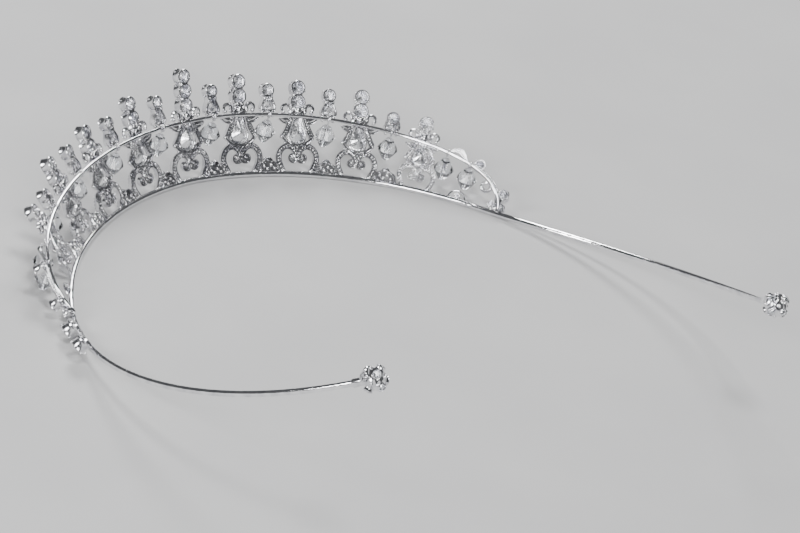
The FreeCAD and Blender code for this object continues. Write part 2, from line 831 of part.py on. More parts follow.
# The origin goes under the middle of the whole, on the surface that the headband rests on.
whole = FreeCAD.BoundBox()
for part in parts:
    whole.add(part.Shape.optimalBoundingBox(False))
to_origin = Vector(-whole.Center.x, -whole.Center.y, -whole.ZMin)
for part in parts:
    part.Placement = FreeCAD.Placement(part.Placement.Base + to_origin, part.Placement.Rotation)

os.makedirs("parts", exist_ok=True)
for part in parts:
    part.Shape.exportStep("parts/%s.step" % part.Label)
print("wrote", len(parts), "parts")
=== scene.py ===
import json
import math

import bmesh
import bpy
from mathutils import Matrix, Vector

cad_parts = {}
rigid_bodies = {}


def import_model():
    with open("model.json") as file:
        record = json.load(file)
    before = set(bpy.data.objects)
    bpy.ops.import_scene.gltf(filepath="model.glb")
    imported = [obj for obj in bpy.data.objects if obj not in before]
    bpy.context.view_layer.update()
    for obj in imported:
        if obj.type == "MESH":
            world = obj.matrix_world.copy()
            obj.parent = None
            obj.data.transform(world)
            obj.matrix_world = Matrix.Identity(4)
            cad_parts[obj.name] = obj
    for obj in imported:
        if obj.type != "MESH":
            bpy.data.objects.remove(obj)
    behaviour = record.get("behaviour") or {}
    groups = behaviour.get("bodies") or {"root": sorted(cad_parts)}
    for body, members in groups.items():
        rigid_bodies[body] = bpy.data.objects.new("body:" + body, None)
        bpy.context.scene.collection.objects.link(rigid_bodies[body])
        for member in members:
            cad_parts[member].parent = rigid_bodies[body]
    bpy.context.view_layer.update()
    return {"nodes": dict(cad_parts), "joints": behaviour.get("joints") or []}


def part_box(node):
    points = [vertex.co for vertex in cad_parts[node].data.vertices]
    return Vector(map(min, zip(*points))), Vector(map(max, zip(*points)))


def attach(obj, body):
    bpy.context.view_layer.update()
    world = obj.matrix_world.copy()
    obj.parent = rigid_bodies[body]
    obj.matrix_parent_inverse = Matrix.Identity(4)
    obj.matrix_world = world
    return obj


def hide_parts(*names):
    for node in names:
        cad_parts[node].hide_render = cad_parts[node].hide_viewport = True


# Looks of the bridal tiara. Lengths are millimetres until a piece is made, then metres.
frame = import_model()
MM = 0.001
TIARA = frame["joints"][0]["parent"]

# ---------------------------------------------------------------------------------------------
# The headband's line and the crest's leaning surface, as the CAD part draws them
# ---------------------------------------------------------------------------------------------

BAND_R = 0.75
RAIL_R = 0.45
FRONT_RADIUS, FRONT_HALF = 57.0, 5.5
SIDE_RADIUS, CREST = 87.0, 82.5
ARM_RADIUS, ARM = 89.0, 103.0
RISE = {1: 40.5, -1: 29.8}
RISE_POWER = 1.72
LEAN_MIDDLE, LEAN_END = 25.3, 49.7
RAIL_HEIGHT, RAIL_SAG, RAIL_OVERRUN, RAIL_POWER = 15.6, 4.2, 3.7, 9.8
RAIL_REACH = CREST + RAIL_OVERRUN
JOIN = RAIL_REACH - 1.2
SPACING = 15.9
END_ARCH = 75.0
DEPTH = 1.4
BACK = -DEPTH / 2
SOLDER = 0.15
FOOT = BAND_R - SOLDER
RAIL_BACK = DEPTH / 2 + RAIL_R - SOLDER
DESIGN_RAIL = 15.7  # the rail height that the palmettes' outlines are drawn for
CUP_R, CUP_WALL, CUP_DEPTH, CUP_SET = 1.95, 0.35, 2.6, 0.35
SMALL_R, SMALL_WALL, SMALL_DEPTH, SMALL_SET = 1.15, 0.25, 1.9, 0.2
SPIRE_CUP_R, SPIRE_CUP_DEPTH, SPIRE_SET = 1.75, 2.4, 0.3
STACK_PITCH = 3.75
SHARP_EDGE = 38  # degrees from which an edge of a casting stays sharp

band_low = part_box("headband")[0] / MM
SHIFT = Vector((0, band_low.y + BAND_R, band_low.z))


def station(arc):
    """Point of the headband's axis at a signed length from its middle, and its heading in plan."""
    side = -1 if arc < 0 else 1
    run = abs(arc)
    spans = [(FRONT_RADIUS, FRONT_HALF), (SIDE_RADIUS, CREST), (ARM_RADIUS, math.inf)]
    x = y = turned = start = 0.0
    for radius, end in spans:
        turn = turned + max(min(run, end) - start, 0) / radius
        x += radius * (math.sin(turn) - math.sin(turned))
        y += radius * (math.cos(turned) - math.cos(turn))
        turned, start = turn, end
    rise = RISE[side] * (max(run - CREST, 0) / ARM) ** RISE_POWER
    return Vector((side * x, y, BAND_R + rise)) + SHIFT, side * turned


def axes_matrix(origin, first, second, third):
    """Matrix that carries local X, Y and Z onto three directions."""
    rows = [(first[i], second[i], third[i], origin[i]) for i in range(3)]
    return Matrix(rows + [(0, 0, 0, 1)])


def crest_frame(arc):
    """Local X along the crest, Y up it, Z out of its face, origin on the headband's axis."""
    origin, heading = station(arc)
    along = Vector((math.cos(heading), math.sin(heading), 0))
    outward = Vector((math.sin(heading), -math.cos(heading), 0))
    tilt = math.radians(LEAN_MIDDLE + (LEAN_END - LEAN_MIDDLE) * abs(arc) / CREST)
    up = Vector((0, 0, 1)) * math.cos(tilt) + outward * math.sin(tilt)
    return axes_matrix(origin, along, up, along.cross(up))


def crest_point(arc, height, out=0.0):
    """Point of the crest at a height up its leaning face."""
    return crest_frame(arc) @ Vector((0, height, out))


def rail_height(arc):
    """Height of the rail's axis up the crest: lower to both sides, then down to the headband."""
    share = min(abs(arc) / RAIL_REACH, 1.0)
    return (RAIL_HEIGHT - RAIL_SAG * share ** 2) * math.sqrt(1 - share ** RAIL_POWER)


def top_of(node, place):
    """How far a node's mesh reaches up the crest in a casting's own axes."""
    inverse = place.inverted()
    return max((inverse @ (v.co / MM)).y for v in frame["nodes"][node].data.vertices)


# ---------------------------------------------------------------------------------------------
# Mesh making
# ---------------------------------------------------------------------------------------------


class Soup:
    """Vertices and faces of one piece, with a material number for each face."""

    def __init__(self, place=None):
        self.place = place or Matrix.Identity(4)
        self.points, self.faces, self.slots = [], [], []

    def add(self, points, faces, slots=None):
        """Adds faces that number their corners from the first of these points."""
        start = len(self.points)
        self.points += [self.place @ Vector(p) for p in points]
        self.faces += [tuple(start + i for i in face) for face in faces]
        self.slots += slots or [0] * len(faces)


def make(name, soup, materials, body, nodes=(), sharp=None):
    """Turns a soup into a piece that rides on a body and stands for CAD nodes."""
    mesh = bpy.data.meshes.new(name)
    mesh.from_pydata([p * MM for p in soup.points], [], soup.faces)
    for material in materials:
        mesh.materials.append(material)
    mesh.polygons.foreach_set("material_index", soup.slots)
    mesh.validate()
    work = bmesh.new()
    work.from_mesh(mesh)
    bmesh.ops.recalc_face_normals(work, faces=work.faces)
    work.to_mesh(mesh)
    work.free()
    if sharp is None:
        mesh.shade_flat()
    else:
        mesh.shade_smooth()
        mesh.set_sharp_from_angle(angle=math.radians(sharp))
    piece = bpy.data.objects.new(name, mesh)
    bpy.context.scene.collection.objects.link(piece)
    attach(piece, body)
    if nodes:
        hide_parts(*nodes)
    return piece


def smooth_line(points, steps=5, closed=False):
    """Points of a smooth line through the given ones."""
    points = [Vector(p) for p in points]
    count = len(points)
    line = []
    for index in range(count if closed else count - 1):
        if closed:
            a, b, c, d = (points[(index + k) % count] for k in (-1, 0, 1, 2))
        else:
            a, b = points[max(index - 1, 0)], points[index]
            c, d = points[index + 1], points[min(index + 2, count - 1)]
        for step in range(steps):
            t = step / steps
            line.append(0.5 * (2 * b + (c - a) * t + (2 * a - 5 * b + 4 * c - d) * t ** 2
                               + (3 * b - a - 3 * c + d) * t ** 3))
    if not closed:
        line.append(points[-1])
    return line


def spread(value, count):
    """A list of values along a line, from one number or from a few evenly spaced ones."""
    if isinstance(value, (int, float)):
        return [value] * count
    values = []
    for index in range(count):
        t = index / max(count - 1, 1) * (len(value) - 1)
        low = min(int(t), len(value) - 2)
        values.append(value[low] + (value[low + 1] - value[low]) * (t - low))
    return values


# Section of a cast strip: across its width, and from its hollowed back to its rounded front.
STRIP = [
    (-0.5, 0.0), (-0.33, 0.0), (-0.24, 0.2), (0.24, 0.2), (0.33, 0.0), (0.5, 0.0),
    (0.5, 0.62), (0.36, 0.88), (0.0, 1.0), (-0.36, 0.88), (-0.5, 0.62),
]


def strip(soup, line, width, depth=DEPTH, closed=False):
    """A cast strip that follows a line in the casting's plane."""
    line = [Vector((p[0], p[1])) for p in line]
    count = len(line)
    widths = spread(width, count)
    points = []
    for index, point in enumerate(line):
        if closed:
            run = line[(index + 1) % count] - line[index - 1]
        else:
            run = line[min(index + 1, count - 1)] - line[max(index - 1, 0)]
        across = Vector((-run.y, run.x)).normalized() * widths[index]
        for u, v in STRIP:
            points.append((point.x + across.x * u, point.y + across.y * u, BACK + depth * v))
    size = len(STRIP)
    faces = []
    for index in range(count if closed else count - 1):
        low, high = index * size, ((index + 1) % count) * size
        for k in range(size):
            following = (k + 1) % size
            faces.append((low + k, low + following, high + following, high + k))
    if not closed:
        faces.append(tuple(range(size))[::-1])
        faces.append(tuple(range((count - 1) * size, count * size)))
    soup.add(points, faces)


def tube(soup, line, radius, sides=8):
    """A round wire with rounded ends along a line."""
    line = [Vector(p).to_3d() for p in line]
    count = len(line)
    radii = spread(radius, count)
    normal = None
    points, faces = [], []
    for index, point in enumerate(line):
        run = (line[min(index + 1, count - 1)] - line[max(index - 1, 0)]).normalized()
        if normal is None:
            normal = run.orthogonal().normalized()
        normal = (normal - run * normal.dot(run)).normalized()
        other = run.cross(normal)
        for k in range(sides):
            angle = 2 * math.pi * k / sides
            spoke = normal * math.cos(angle) + other * math.sin(angle)
            points.append(point + spoke * radii[index])
    for index in range(count - 1):
        low, high = index * sides, (index + 1) * sides
        for k in range(sides):
            following = (k + 1) % sides
            faces.append((low + k, low + following, high + following, high + k))
    for index, near in ((0, line[1]), (count - 1, line[-2])):
        run = (line[index] - near).normalized()
        hub, rim = len(points), index * sides
        points.append(line[index] + run * radii[index] * 0.6)
        for k in range(sides):
            faces.append((hub, rim + k, rim + (k + 1) % sides))
    soup.add(points, faces)


def lathe(soup, centre, profile, segments=20, closed=False):
    """A profile of (radius, height) pairs turned about local Z."""
    centre = Vector(centre)
    points, rings, faces = [], [], []
    for radius, height in profile:
        count = segments if radius > 1e-6 else 1
        rings.append((len(points), count))
        for k in range(count):
            angle = 2 * math.pi * k / segments
            spoke = Vector((radius * math.cos(angle), radius * math.sin(angle), height))
            points.append(centre + spoke)
    pairs = list(zip(rings, rings[1:]))
    if closed:
        pairs.append((rings[-1], rings[0]))
    for (low, low_count), (high, high_count) in pairs:
        for k in range(segments):
            following = (k + 1) % segments
            if low_count == 1:
                faces.append((low, high + k, high + following))
            elif high_count == 1:
                faces.append((low + k, low + following, high))
            else:
                faces.append((low + k, low + following, high + following, high + k))
    soup.add(points, faces)


def ball(soup, centre, radius, rings=5, segments=8, flat=1.0):
    """A grain of metal, flattened or drawn out along local Z."""
    profile = []
    for index in range(rings + 1):
        angle = math.pi * (index / rings - 0.5)
        level = radius * math.sin(angle) * flat
        profile.append((0.0 if index in (0, rings) else radius * math.cos(angle), level))
    lathe(soup, centre, profile, segments)


def beads(soup, line, pitch, radius, level, skip=0.0):
    """Small grains along a line, at one level over the casting's plane."""
    line = [Vector((p[0], p[1])) for p in line]
    wait = skip
    for start, end in zip(line, line[1:]):
        run = (end - start).length
        while wait <= run:
            point = start.lerp(end, wait / run) if run else start
            ball(soup, (point.x, point.y, level), radius, rings=4, segments=6)
            wait += pitch
        wait -= run


def plate(soup, outline, back, depth, bevel):
    """A flat piece with bevelled edges in front."""
    outline = [Vector((p[0], p[1])) for p in outline]
    centre = sum(outline, Vector((0, 0))) / len(outline)
    count = len(outline)
    points = []
    for level, inset in ((back, 0.0), (back + depth - bevel, 0.0), (back + depth, bevel)):
        for point in outline:
            inward = (centre - point).normalized() * inset
            points.append((point.x + inward.x, point.y + inward.y, level))
    faces = [tuple(range(count))[::-1], tuple(range(2 * count, 3 * count))]
    for layer in (0, 1):
        for k in range(count):
            following = (k + 1) % count
            low, high = layer * count, (layer + 1) * count
            faces.append((low + k, low + following, high + following, high + k))
    soup.add(points, faces)


# ---------------------------------------------------------------------------------------------
# Stones: material 0 is the clear crown, material 1 the foiled back
# ---------------------------------------------------------------------------------------------


def circle(count, radius, level, turn, centre):
    """Corners of a level polygon over a centre, turned by a share of its side."""
    points = []
    for index in range(count):
        angle = 2 * math.pi * (index + turn) / count
        points.append(Vector((
            centre[0] + radius * math.cos(angle),
            centre[1] + radius * math.sin(angle),
            centre[2] + level,
        )))
    return points


def crown_faces(table, star, girdle):
    """Faces between an eight-sided table and a sixteen-sided girdle, from their first indices."""
    faces = [tuple(table + k for k in range(8))]
    for k in range(8):
        after, before = (k + 1) % 8, (k - 1) % 8
        odd, even, back = girdle + 2 * k + 1, girdle + 2 * k, girdle + (2 * k - 1) % 16
        faces.append((table + before, table + k, star + k))
        faces.append((table + k, star + k, odd, star + after))
        faces.append((star + k, even, odd))
        faces.append((star + k, back, even))
    return faces


def brilliant(soup, centre, radius):
    """A round stone with a full crown, a girdle and a pointed, foiled back."""
    points = circle(8, radius * 0.56, radius * 0.34, 0.5, centre)
    points += circle(8, radius * 0.81, radius * 0.2, 0.0, centre)
    points += circle(16, radius, radius * 0.03, 0.0, centre)
    points += circle(16, radius, -radius * 0.03, 0.0, centre)
    points += circle(8, radius * 0.45, -radius * 0.5, 0.0, centre)
    points += circle(8, radius * 0.07, -radius * 0.86, 0.5, centre)
    crown = crown_faces(0, 8, 16)
    for k in range(16):
        crown.append((16 + k, 16 + (k + 1) % 16, 32 + (k + 1) % 16, 32 + k))
    pavilion = crown_faces(56, 48, 32)
    soup.add(points, crown + pavilion, [0] * len(crown) + [1] * len(pavilion))


def outline_stone(soup, outline, centre, crown, back):
    """A faceted stone with any outline, given about its own middle."""
    count = len(outline)
    layers = [(0.6, crown), (0.84, crown * 0.62), (1.0, 0.08), (1.0, -0.08)]
    layers += [(0.62, back * 0.5), (0.15, back)]
    points = []
    for share, level in layers:
        for x, y in outline:
            points.append((centre[0] + x * share, centre[1] + y * share, centre[2] + level))
    faces, slots = [tuple(range(count))], [0]
    for layer in range(len(layers) - 1):
        low, high = layer * count, (layer + 1) * count
        for k in range(count):
            after = (k + 1) % count
            if (k + layer) % 2:
                split = [(low + k, low + after, high + after), (low + k, high + after, high + k)]
            else:
                split = [(low + k, low + after, high + k), (low + after, high + after, high + k)]
            faces += split
            slots += [0 if layer < 3 else 1] * 2
    faces.append(tuple((len(layers) - 1) * count + k for k in range(count)))
    slots.append(1)
    soup.add(points, faces, slots)


def bicone(soup, centre, radius, half, tip):
    """A hanging crystal: the same cut above and below its girdle."""
    points, faces = [], []
    for sign in (1, -1):
        start = len(points)
        points += circle(8, radius * tip, sign * half, 0.5, centre)
        points += circle(8, radius * 0.77, sign * half * 0.46, 0.0, centre)
        points += circle(16, radius, sign * 0.1, 0.0, centre)
        faces += crown_faces(start, start + 8, start + 16)
    for k in range(16):
        after = (k + 1) % 16
        faces.append((16 + k, 16 + after, 48 + after, 48 + k))
    soup.add(points, faces)


# ---------------------------------------------------------------------------------------------
# Materials
# ---------------------------------------------------------------------------------------------


def principled(name):
    """A new material with its node tree and its shader."""
    material = bpy.data.materials.new(name)
    material.use_nodes = True
    shader = material.node_tree.nodes["Principled BSDF"]
    return material, material.node_tree, shader


def noise(tree, scale, detail):
    """Noise in the piece's own millimetres."""
    place = tree.nodes.new("ShaderNodeTexCoord")
    mapping = tree.nodes.new("ShaderNodeMapping")
    mapping.inputs["Scale"].default_value = (1 / MM, 1 / MM, 1 / MM)
    texture = tree.nodes.new("ShaderNodeTexNoise")
    texture.inputs["Scale"].default_value = scale
    texture.inputs["Detail"].default_value = detail
    tree.links.new(place.outputs["Object"], mapping.inputs["Vector"])
    tree.links.new(mapping.outputs["Vector"], texture.inputs["Vector"])
    return texture.outputs["Fac"]


def ramp(tree, source, stops):
    """Colours or greys against a value."""
    node = tree.nodes.new("ShaderNodeValToRGB")
    elements = node.color_ramp.elements
    while len(elements) < len(stops):
        elements.new(0.5)
    for element, (at, value) in zip(elements, stops):
        element.position = at
        colour = (value, value, value) if isinstance(value, float) else value
        element.color = (*colour, 1)
    tree.links.new(source, node.inputs["Fac"])
    return node.outputs["Color"]


def bump(tree, shader, source, height):
    """Relief of a height in millimetres, at half strength."""
    node = tree.nodes.new("ShaderNodeBump")
    node.inputs["Strength"].default_value = 0.5
    node.inputs["Distance"].default_value = height * MM
    tree.links.new(source, node.inputs["Height"])
    tree.links.new(node.outputs["Normal"], shader.inputs["Normal"])


def silver(name, bright, dull, polish, grain, height):
    """Silver plate: cloudy tarnish, uneven polish and a fine cast grain."""
    material, tree, shader = principled(name)
    shader.inputs["Metallic"].default_value = 1.0
    colour = ramp(tree, noise(tree, 0.35, 6.0), [(0.32, dull), (0.62, bright)])
    tree.links.new(colour, shader.inputs["Base Color"])
    gloss = ramp(tree, noise(tree, 2.1, 5.0), [(0.35, polish[0]), (0.7, polish[1])])
    tree.links.new(gloss, shader.inputs["Roughness"])
    bump(tree, shader, noise(tree, grain, 4.0), height)
    return material


cast_silver = silver("cast_silver", bright=(0.93, 0.93, 0.94), dull=(0.55, 0.55, 0.58),
                     polish=(0.10, 0.30), grain=3.2, height=0.035)
wire_silver = silver("wire_silver", bright=(0.95, 0.95, 0.96), dull=(0.70, 0.70, 0.73),
                     polish=(0.06, 0.16), grain=5.0, height=0.006)
fine_silver = silver("fine_silver", bright=(0.92, 0.92, 0.93), dull=(0.60, 0.60, 0.63),
                     polish=(0.08, 0.22), grain=6.0, height=0.010)
foil = silver("foil", bright=(0.95, 0.95, 0.96), dull=(0.75, 0.76, 0.79),
              polish=(0.16, 0.38), grain=1.4, height=0.008)


def clear(name, tint, index, smeared):
    """Cut glass: clear, with faint smears where it has been touched."""
    material, tree, shader = principled(name)
    shader.inputs["Transmission Weight"].default_value = 1.0
    shader.inputs["IOR"].default_value = index
    colour = ramp(tree, noise(tree, 0.6, 3.0), [(0.3, tint), (0.7, (1.0, 1.0, 1.0))])
    tree.links.new(colour, shader.inputs["Base Color"])
    gloss = ramp(tree, noise(tree, 1.3, 4.0), [(0.45, 0.0), (0.8, smeared)])
    tree.links.new(gloss, shader.inputs["Roughness"])
    return material


stone_glass = clear("stone_glass", tint=(0.93, 0.95, 0.98), index=1.58, smeared=0.06)
crystal_glass = clear("crystal_glass", tint=(0.88, 0.91, 0.97), index=1.62, smeared=0.05)
STONE = [stone_glass, foil]

# ---------------------------------------------------------------------------------------------
# Settings
# ---------------------------------------------------------------------------------------------


def collet(soup, x, y, radius, depth, level=BACK, claws=4, wall=CUP_WALL):
    """A round open setting: a rolled back edge, a waisted wall and claws over the stone."""
    top = level + depth
    inner = radius - wall
    profile = [
        (radius - 0.04, level), (radius + 0.05, level + 0.14), (radius - 0.03, level + 0.34),
        (radius - 0.1, level + depth * 0.5), (radius - 0.02, top - 0.3),
        (radius + 0.03, top - 0.14), (radius - 0.08, top), (inner + 0.05, top - 0.02),
        (inner, top - 0.2), (inner, level + 0.16), (inner + 0.08, level),
    ]
    lathe(soup, (x, y, 0), profile, 24, closed=True)
    for k in range(claws):
        angle = 2 * math.pi * (k + 0.5) / claws
        spoke = Vector((math.cos(angle), math.sin(angle), 0))
        base = Vector((x, y, 0))
        line = [
            base + spoke * (radius + 0.02) + Vector((0, 0, top - 0.7)),
            base + spoke * (radius + 0.02) + Vector((0, 0, top - 0.1)),
            base + spoke * (radius - 0.25) + Vector((0, 0, top + 0.12)),
        ]
        tube(soup, line, [0.14, 0.2, 0.16], 6)


def stone_cup(metal, stones, x, y, radius, depth=CUP_DEPTH, wall=CUP_WALL, sunk=CUP_SET, claws=4):
    """A collet with a round stone, its girdle sunk below the rim."""
    collet(metal, x, y, radius, depth, claws=claws, wall=wall)
    brilliant(stones, (x, y, depth + BACK - sunk), radius - wall)


def small_cup(metal, stones, x, y):
    """The smallest collet with its stone, held by three claws."""
    stone_cup(metal, stones, x, y, SMALL_R, SMALL_DEPTH, SMALL_WALL, SMALL_SET, 3)


def make_casting(node, soup, material=cast_silver):
    """The finished metal of one CAD node."""
    make(node + "_look", soup, [material], TIARA, [node], SHARP_EDGE)


def make_gems(name, soup, node):
    """The stones that stand for one CAD node."""
    make(name, soup, STONE, TIARA, [node])


def flip(points, side):
    """The same points on one side of the casting's axis."""
    return [(side * x, y) for x, y in points]


def scaled(points, scale):
    """The same outline, larger or smaller about the casting's foot."""
    return [(x * scale, y * scale) for x, y in points]


# ---------------------------------------------------------------------------------------------
# Palmettes
# ---------------------------------------------------------------------------------------------


VOLUTE = Vector((1.42, 4.45))
PEAR_MIDDLE = 11.2


def scroll_line(scale):
    """One half of an arch: up its leg, over the top and into a volute."""
    line = [
        (4.15, 0.62), (4.6, 1.5), (5.25, 2.9), (5.5, 4.4), (5.1, 5.9),
        (4.0, 7.1), (2.6, 7.45), (1.3, 6.85), (0.45, 5.7),
    ]
    first, last, steps = 1.32, 0.5, 12
    for step in range(steps + 1):
        angle = math.radians(170 + 360 * step / steps)
        radius = first + (last - first) * step / steps
        line.append((VOLUTE.x + radius * math.cos(angle), VOLUTE.y + radius * math.sin(angle)))
    return smooth_line(scaled(line, scale), 4)


def pear_outline(scale):
    """Edge of the pear stone, its point up, from the middle of its round end."""
    half = [
        (0.0, 8.1), (0.95, 8.3), (1.85, 8.95), (2.3, 9.9), (2.25, 11.0), (1.9, 12.1),
        (1.4, 13.1), (0.9, 14.1), (0.35, 14.7),
    ]
    outline = half + [(-x, y) for x, y in reversed(half[1:])]
    return scaled(outline, scale)


def arch(metal, stones, s):
    """Two C-scrolls with their volutes: grains along the back, small stones along the front."""
    arm = scroll_line(s)
    for side in (-1, 1):
        line = flip(arm, side)
        strip(metal, line, [width * s for width in (1.65, 1.6, 1.45, 1.1, 0.75, 0.6)])
        ball(metal, (side * VOLUTE.x * s, VOLUTE.y * s, 0), 0.52 * s, 6, 10, 1.3)
        outer = line[: len(line) // 2]
        beads(metal, outer, 0.82, 0.27 * s, BACK + 0.1, 0.5)
        beads(stones, outer, 0.82, 0.32 * s, DEPTH / 2 + 0.1, 0.5)
        ball(metal, (side * 4.1 * s, FOOT + 0.1, 0), 0.7 * s, 5, 8, 0.9)


def pear_frame(metal, s):
    """The open frame about the pear stone, with its leaf shoulders."""
    for side in (-1, 1):
        flank = smooth_line(flip(scaled([
            (1.75, 15.9), (2.15, 14.6), (2.8, 12.9), (3.5, 11.3), (4.15, 10.05)], s), side), 4)
        strip(metal, flank, [0.9, 1.3, 1.5], 1.7)
        beads(metal, flank, 0.72, 0.17, BACK + 0.02, 0.3)
        inner = smooth_line(flip(scaled([(0.75, 15.7), (1.05, 14.4), (1.6, 12.8)], s), side), 3)
        strip(metal, inner, [0.5, 0.45, 0.3], 1.5)
        under = smooth_line(flip(scaled([
            (4.4, 10.0), (3.6, 9.15), (2.3, 8.2), (0.9, 7.35), (0.0, 7.0)], s), side), 3)
        strip(metal, under, [0.95, 0.8, 0.9], 1.5)
        ball(metal, (side * 4.42 * s, 9.98 * s, 0.1), 0.55, 6)
        ball(metal, (side * 3.7 * s, 8.3 * s, BACK + 0.3), 0.34)


def pear_setting(metal, stones, s):
    """The pear stone with its bezel, the fan under it and its claws."""
    middle = PEAR_MIDDLE * s
    bezel = smooth_line([(x * 1.09, middle + (y - middle) * 1.06)
                         for x, y in pear_outline(s)], 2, closed=True)
    tube(metal, bezel + bezel[:1], 0.2, 6)
    fan = [(-2.7, 9.0), (0.0, 7.3), (2.7, 9.0), (1.3, 8.3), (0.0, 8.05), (-1.3, 8.3)]
    plate(metal, scaled(fan, s), BACK + 0.15, 0.6, 0.1)
    shape = [(x, y - middle) for x, y in pear_outline(s)]
    outline_stone(stones, shape, (0, middle, 0.35), 0.95, -1.25)
    for x, y in scaled([(0.0, 14.8), (1.95, 12.2), (2.3, 9.3), (0.0, 7.95)], s):
        for side in ((-1, 1) if x else (1,)):
            tube(metal, [(side * (x + 0.2), y, 0.1), (side * x * 0.9, y, 0.75)], 0.18, 6)


def rail_block(metal, stones, rail, s):
    """The block over the rail, with a curl above the rail and a leaf under it on each side."""
    block = [(-1.9, rail - 0.5), (1.9, rail - 0.5), (1.7, rail + 0.9), (1.15, rail + 1.9),
             (-1.15, rail + 1.9), (-1.7, rail + 0.9)]
    plate(metal, block, BACK, 1.5, 0.2)
    for side in (-1, 1):
        x, y = side * 3.5 * s, rail + 1.75
        curl = []
        for step in range(13):
            angle = math.radians(200 - 250 * step / 12)
            radius = 1.25 - 0.3 * step / 12
            curl.append((x + side * radius * math.cos(angle), y + radius * math.sin(angle), 0))
        root = [(side * 1.0, rail + 1.0, 0), (side * 1.9 * s, rail + 0.85, 0)]
        tube(metal, smooth_line(root + curl, 2), [0.62, 0.52, 0.36])
        ball(metal, curl[-1], 0.55, 6, 10)
        brilliant(stones, (curl[-1][0], curl[-1][1], 0.62), 0.42)
        low = smooth_line([
            (side * 1.6 * s, rail - 0.75), (side * 2.5 * s, rail - 1.5),
            (side * 3.5 * s, rail - 1.8), (side * 4.6 * s, rail - 1.5),
            (side * 5.5 * s, rail - 0.8)], 3)
        strip(metal, low, [0.4, 0.75, 0.4], 1.2)
        lens = [(side * 2.0 * s, rail - 0.7), (side * 3.5 * s, rail - 0.45),
                (side * 5.0 * s, rail - 0.7), (side * 3.5 * s, rail - 1.35)]
        plate(metal, lens, BACK + 0.2, 0.8, 0.2)


def cup_column(metal, stones, rail, height):
    """The cups above the block, one over the other, on a beaded neck."""
    stacked = max(1, round((height - rail - 1.5) / STACK_PITCH))
    lowest = height - STACK_PITCH * (stacked - 1) - CUP_R
    neck = [(-1.5, rail + 0.9), (1.5, rail + 0.9), (1.15, lowest + 0.3), (-1.15, lowest + 0.3)]
    plate(metal, neck, BACK, 1.4, 0.2)
    ball(metal, (0, rail + 1.35, BACK + 0.05), 0.95, 8, 14, 0.6)
    for side in (-1, 1):
        beads(metal, [(side * 1.35, rail + 1.1), (side * 1.15, lowest + 0.5)], 0.8, 0.42, 0.1)
        ball(metal, (side * 1.15, rail + 1.9, BACK + 0.15), 0.55, 6, 10, 0.8)
        ball(metal, (side * 0.6, lowest + 0.1, BACK + 0.15), 0.5, 6, 10, 0.8)
    for level in range(stacked):
        y = height - STACK_PITCH * (stacked - 1 - level)
        radius = CUP_R if level == stacked - 1 else CUP_R * 1.06
        stone_cup(metal, stones, 0, y, radius)
        for side in (-1, 1):
            ball(metal, (side * 0.95, y - radius + 0.1, 0), 0.5, 6)
            ball(metal, (side * (radius - 0.1), y - 0.9, -0.2), 0.3)


def palmette(number):
    """One of the nine tall castings, its outlines scaled by the height of the rail there."""
    arc = (number - 5) * SPACING
    place = crest_frame(arc)
    node = "palmette_%d" % number
    rail = rail_height(arc)
    scale = rail / DESIGN_RAIL
    metal, stones = Soup(place), Soup(place)
    arch(metal, stones, scale)
    pear_frame(metal, scale)
    pear_setting(metal, stones, scale)
    rail_block(metal, stones, rail, scale)
    cup_column(metal, stones, rail, top_of(node, place) - CUP_R)
    make_casting(node, metal)
    make_gems(node + "_gems", stones, node + "_stones")


for number in range(1, 10):
    palmette(number)

# ---------------------------------------------------------------------------------------------
# Spires
# ---------------------------------------------------------------------------------------------


def spire(number, stones):
    """A slim casting on the rail: beads, a leaf shaped body with a stone, and a cup on top."""
    arc = (number - 4.5) * SPACING
    place = crest_frame(arc)
    node = "spire_%d" % number
    rail = rail_height(arc)
    height = top_of(node, place) - CUP_R
    metal = Soup(place)
    stones.place = place
    neck = height - 1.5
    half = [
        (0.75, rail + 1.0), (1.65, rail + 1.15), (1.85, rail + 2.0), (1.5, rail + 3.0),
        (0.95, (rail + 3.4 + neck) / 2), (0.95, neck),
    ]
    outline = half + [(-x, y) for x, y in reversed(half)]
    strip(metal, smooth_line(outline, 4, closed=True), 0.62, 2.2, closed=True)
    belly = (rail + 2.4 + neck) / 2
    shape = [(x * 0.72, (y - belly) * 0.86) for x, y in outline]
    outline_stone(stones, shape, (0, belly, 0.7), 0.7, -0.9)
    stone_cup(metal, stones, 0, height, SPIRE_CUP_R, SPIRE_CUP_DEPTH, sunk=SPIRE_SET)
    for side in (-1, 1):
        ball(metal, (side * 1.45, rail + 0.75, 0.1), 0.55, 6)
        ball(metal, (side * 1.45, rail - 0.2, 0.25), 0.52, 6)
        ball(metal, (side * 2.0, rail + 1.5, 0.2), 0.36)
        ball(metal, (side * 1.0, neck - 0.2, 0.2), 0.36)
        tube(metal, [(side * 1.45, rail - 0.2, 0.1), (side * 1.4, rail + 1.3, 0.1)], 0.36)
    ball(metal, (0, rail + 1.1, 0.3), 0.6, 6)
    make_casting(node, metal)


gems = Soup()
for number in range(1, 9):
    spire(number, gems)
make_gems("spire_gems", gems, "spire_stones")

# ---------------------------------------------------------------------------------------------
# Clusters on the headband
# ---------------------------------------------------------------------------------------------

